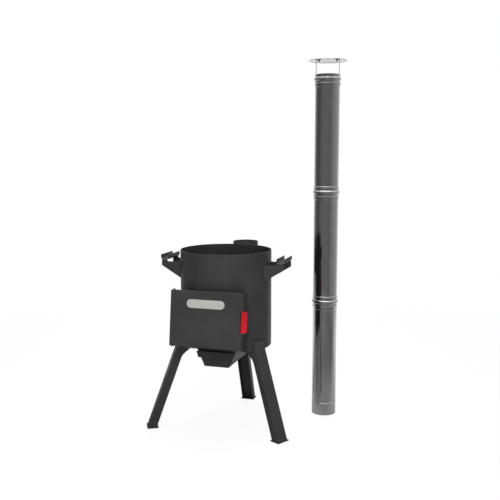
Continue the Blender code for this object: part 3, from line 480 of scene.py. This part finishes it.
def cap_ring():
    height = RING_HIGH.z - RING_LOW.z
    bore = PIPE_RADIUS - PIPE_SHEET
    profile = [
        (PIPE_RADIUS - LIP_IN, height),
        (PIPE_RADIUS, height - LIP_DOWN),
        (PIPE_RADIUS, 0),
        (bore, 0),
        (bore, height - LIP_IN),
        (bore + LIP_IN, height),
    ]
    turned("cap_ring_sheet", "cap_ring", profile, (CHIMNEY_X, CHIMNEY_Y, RING_LOW.z))


def collar():
    """The flue collar, its mouth's edges broken."""
    height = COLLAR_HIGH.z - COLLAR_LOW.z
    outside = (COLLAR_HIGH.x - COLLAR_LOW.x) / 2
    inside = outside - COLLAR_SHEET
    knee = EDGE / 3
    profile = [
        (outside - EDGE, height),
        (outside - knee, height - knee),
        (outside, height - EDGE),
        (outside, 0),
        (inside, 0),
        (inside, height - EDGE),
        (inside + knee, height - knee),
        (inside + EDGE, height),
    ]
    middle = (COLLAR_LOW + COLLAR_HIGH) / 2
    turned("flue_collar_tube", "flue_collar", profile, (middle.x, middle.y, COLLAR_LOW.z))


def weld(name, points):
    """A rippled bead on the stove, half sunk in the corner that it fills."""
    path = [Vector(point) for point in points]
    stations = []
    for start, end in zip(path, path[1:]):
        way = (end - start).normalized()
        steps = max(1, round((end - start).length / WELD_STEP))
        stations += [(start.lerp(end, step / steps), way) for step in range(steps)]
    stations.append((path[-1], way))
    shape = bmesh.new()
    rings = []
    for index, (centre, along) in enumerate(stations):
        side = along.orthogonal().normalized()
        swollen = WELD_RADIUS * (1 + WELD_RIPPLE * math.sin(index * WELD_TURN))
        if index in (0, len(stations) - 1):
            swollen = WELD_RADIUS / 2
        ring = []
        for step in range(WELD_SIDES):
            spoke = Matrix.Rotation(2 * math.pi * step / WELD_SIDES, 3, along) @ side
            ring.append(shape.verts.new(centre + spoke * swollen))
        rings.append(ring)
    for near, far in zip(rings, rings[1:]):
        for step in range(WELD_SIDES):
            after = (step + 1) % WELD_SIDES
            shape.faces.new((near[step], near[after], far[after], far[step]))
    shape.faces.new(rings[0][::-1])
    shape.faces.new(rings[-1])
    new_object(name, shape, "stove", "black_coat")


def on_body(across):
    """How far a line lies from the stove's middle where it meets the body, this far to its side."""
    return math.sqrt(BODY_RADIUS**2 - across**2)


def handle_welds():
    """Both sides of each cheek, but for the front cheeks' outer side, which is plain."""
    for side, sign in (("left", -1), ("right", 1)):
        for end in ("front", "rear"):
            low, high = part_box(f"{side}_handle_{end}_cheek")
            for face, y in (("near", low.y), ("far", high.y)):
                if (end, face) == ("front", "near"):
                    continue
                x = STOVE_X + sign * on_body(y - STOVE_Y)
                line = [(x, y, low.z + WELD_INSET), (x, y, high.z - CHEEK_DROP)]
                weld(f"{side}_{end}_cheek_{face}_weld", line)


def leg_welds():
    """Down each side of a leg, then inwards under the body."""
    stove = Vector((STOVE_X, STOVE_Y, 0))
    for name, angle in LEG_TURNS.items():
        turn = Matrix.Rotation(math.radians(angle), 3, "Z")
        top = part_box(name)[1].z
        for side, across in (("left", -LEG_HALF), ("right", LEG_HALF)):
            out = on_body(across)
            line = [
                (out, across, top),
                (out, across, SHELL_LOW.z),
                (out - GUSSET_REACH, across, SHELL_LOW.z),
            ]
            weld(f"{name}_weld_{side}", [turn @ Vector(point) + stove for point in line])


def portal_welds():
    """Up both sides of the hood and across its top, which leans back with the door."""
    low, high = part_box("portal_hood")
    half = (high.x - low.x) / 2

    def hood_top(y):
        return high.z - math.tan(DOOR_LEAN) * (y - low.y)

    for name, sign in (("left", -1), ("right", 1)):
        x = STOVE_X + sign * half
        y = STOVE_Y - on_body(half)
        weld(f"portal_{name}_weld", [(x, y, SHELL_LOW.z + WELD_INSET), (x, y, hood_top(y))])
    top = []
    for step in range(PORTAL_WELD_STEPS + 1):
        across = half * (2 * step / PORTAL_WELD_STEPS - 1)
        y = STOVE_Y - on_body(across)
        top.append((STOVE_X + across, y, hood_top(y)))
    weld("portal_top_weld", top)


def collar_weld():
    middle = (COLLAR_LOW + COLLAR_HIGH) / 2
    radius = (COLLAR_HIGH.x - COLLAR_LOW.x) / 2
    ring = []
    for step in range(COLLAR_WELD_STEPS + 1):
        turn = 2 * math.pi * step / COLLAR_WELD_STEPS
        ring.append((middle.x + radius * math.cos(turn), middle.y + radius * math.sin(turn), COLLAR_LOW.z))
    weld("collar_weld", ring)


# Studio


def paper_material():
    """Paper that the camera sees white, with a faint shadow, and that is dimmer in the metal."""
    paper = bpy.data.materials.new("pale_paper")
    paper.use_nodes = True
    tree = Tree(paper.node_tree)
    surface = paper.node_tree.nodes["Principled BSDF"]
    tree.put(surface.inputs["Roughness"], 1.0)
    tree.put(surface.inputs["Specular IOR Level"], 0.0)
    place = tree.add("ShaderNodeTexCoord").outputs["Object"]
    to_camera, mirrored = tree.rays()
    tone = tree.mix(to_camera, tree.mix(mirrored, PAPER, PAPER_MIRRORED), PAPER_SHOWN)
    tree.put(surface.inputs["Base Color"], tone)

    # In the metal the paper glows white towards the backdrop, and a painted pool of light glows on it
    # around the chimney's foot
    apart = tree.add("ShaderNodeVectorMath", operation="DISTANCE")
    tree.put(apart.inputs[0], place)
    tree.put(apart.inputs[1], (CHIMNEY_X, CHIMNEY_Y, 0))
    painted_glow_near_pipe = tree.fade(apart.outputs["Value"], PIPE_GLOW_FADE, PAINTED_GLOW_AT_PIPE, 0.0)
    behind = tree.ramp(tree.along(place, BACKDROP), [(0, 0), (1, 1)])
    shine = tree.calculate("MULTIPLY", mirrored, tree.calculate("ADD", behind, painted_glow_near_pipe))
    seen = tree.calculate("ADD", to_camera, shine, clamp=True)
    glow = tree.add("ShaderNodeEmission")
    tree.put(glow.inputs["Color"], (1, 1, 1, 1))
    tree.put(glow.inputs["Strength"], tree.calculate("MULTIPLY", seen, PAPER_GLOW))
    lit = tree.add("ShaderNodeAddShader")
    tree.put(lit.inputs[0], surface.outputs["BSDF"])
    tree.put(lit.inputs[1], glow.outputs["Emission"])

    reach = tree.add("ShaderNodeVectorMath", operation="LENGTH")
    tree.put(reach.inputs[0], place)
    thinned = tree.add("ShaderNodeMixShader")
    tree.put(thinned.inputs[0], tree.fade(reach.outputs["Value"], PAPER_FADE, 0.0, 1.0))
    tree.put(thinned.inputs[1], lit.outputs["Shader"])
    tree.put(thinned.inputs[2], tree.add("ShaderNodeBsdfTransparent").outputs["BSDF"])
    tree.put(paper.node_tree.nodes["Material Output"].inputs["Surface"], thinned.outputs["Shader"])
    return paper


def paper_floor():
    sheet = bmesh.new()
    bmesh.ops.create_grid(sheet, x_segments=1, y_segments=1, size=PAPER_FADE[1] + PAPER_MARGIN)
    mesh = bpy.data.meshes.new("studio_floor")
    sheet.to_mesh(mesh)
    sheet.free()
    mesh.materials.append(paper_material())
    ground = bpy.data.objects.new("studio_floor", mesh)
    ground.location = (0, 0, -PAPER_DROP)
    bpy.context.scene.collection.objects.link(ground)


def backdrop():
    """White to the camera; in the metal, white behind the stove and a dim room on the camera's side."""
    world = bpy.data.worlds.new("studio")
    world.use_nodes = True
    bpy.context.scene.world = world
    tree = Tree(world.node_tree)
    way = tree.add("ShaderNodeTexCoord").outputs["Generated"]
    to_camera, mirrored = tree.rays()
    screen = tree.ramp(tree.along(way, BACKDROP), BACKDROP_LEVELS)
    ceiling = tree.ramp(tree.along(way, (0, 0, 1)), CEILING_LEVELS)
    across = tree.calculate("ADD", tree.calculate("MULTIPLY", tree.along(way, SIDE), 0.5), 0.5)
    room = tree.calculate("ADD", tree.ramp(across, ROOM_LEVELS), ceiling)
    level = tree.mix(to_camera, tree.mix(mirrored, AMBIENT, tree.mix(screen, room, 1.0)), 1.0)
    background = world.node_tree.nodes["Background"]
    tree.put(background.inputs["Color"], (1, 1, 1, 1))
    tree.put(background.inputs["Strength"], level)


def lamps():
    aim = Vector((STOVE_X, STOVE_Y, LAMP_AIM_HEIGHT))
    for name, (turn, height, reach), size, power in LAMPS:
        light = bpy.data.lights.new(name, "AREA")
        light.shape = "SQUARE"
        light.size = size
        light.energy = power
        lamp = bpy.data.objects.new(name, light)
        angle = math.radians(turn)
        lamp.location = aim + Vector((reach * math.sin(angle), -reach * math.cos(angle), height))
        lamp.rotation_euler = (aim - lamp.location).to_track_quat("-Z", "Y").to_euler()
        lamp.visible_camera = False
        lamp.visible_glossy = name == MIRRORED_LAMP
        bpy.context.scene.collection.objects.link(lamp)


def camera():
    lens = bpy.data.cameras.new("camera")
    lens.lens = CAMERA_LENS
    lens.sensor_width = CAMERA_SENSOR
    lens.clip_end = CAMERA_REACH
    made = bpy.data.objects.new("camera", lens)
    made.location = Vector(CAMERA_PLACE) + Vector((STOVE_X, STOVE_Y, 0))
    made.rotation_euler = (CAMERA_DOWN, 0, CAMERA_YAW)
    bpy.context.scene.collection.objects.link(made)
    bpy.context.scene.camera = made


bpy.context.scene.view_settings.view_transform = "Standard"
TURNED = {
    "lower_chimney_section",
    "middle_chimney_section",
    "upper_chimney_section",
    "cap_hat",
    "cap_ring",
    "flue_collar",
}
for node_name in frame["nodes"]:
    if node_name not in TURNED:
        rounded_copy(node_name)
chimney()
hat()
cap_ring()
collar()
handle_welds()
leg_welds()
portal_welds()
collar_weld()
paper_floor()
backdrop()
lamps()
camera()

bpy.context.view_layer.update()
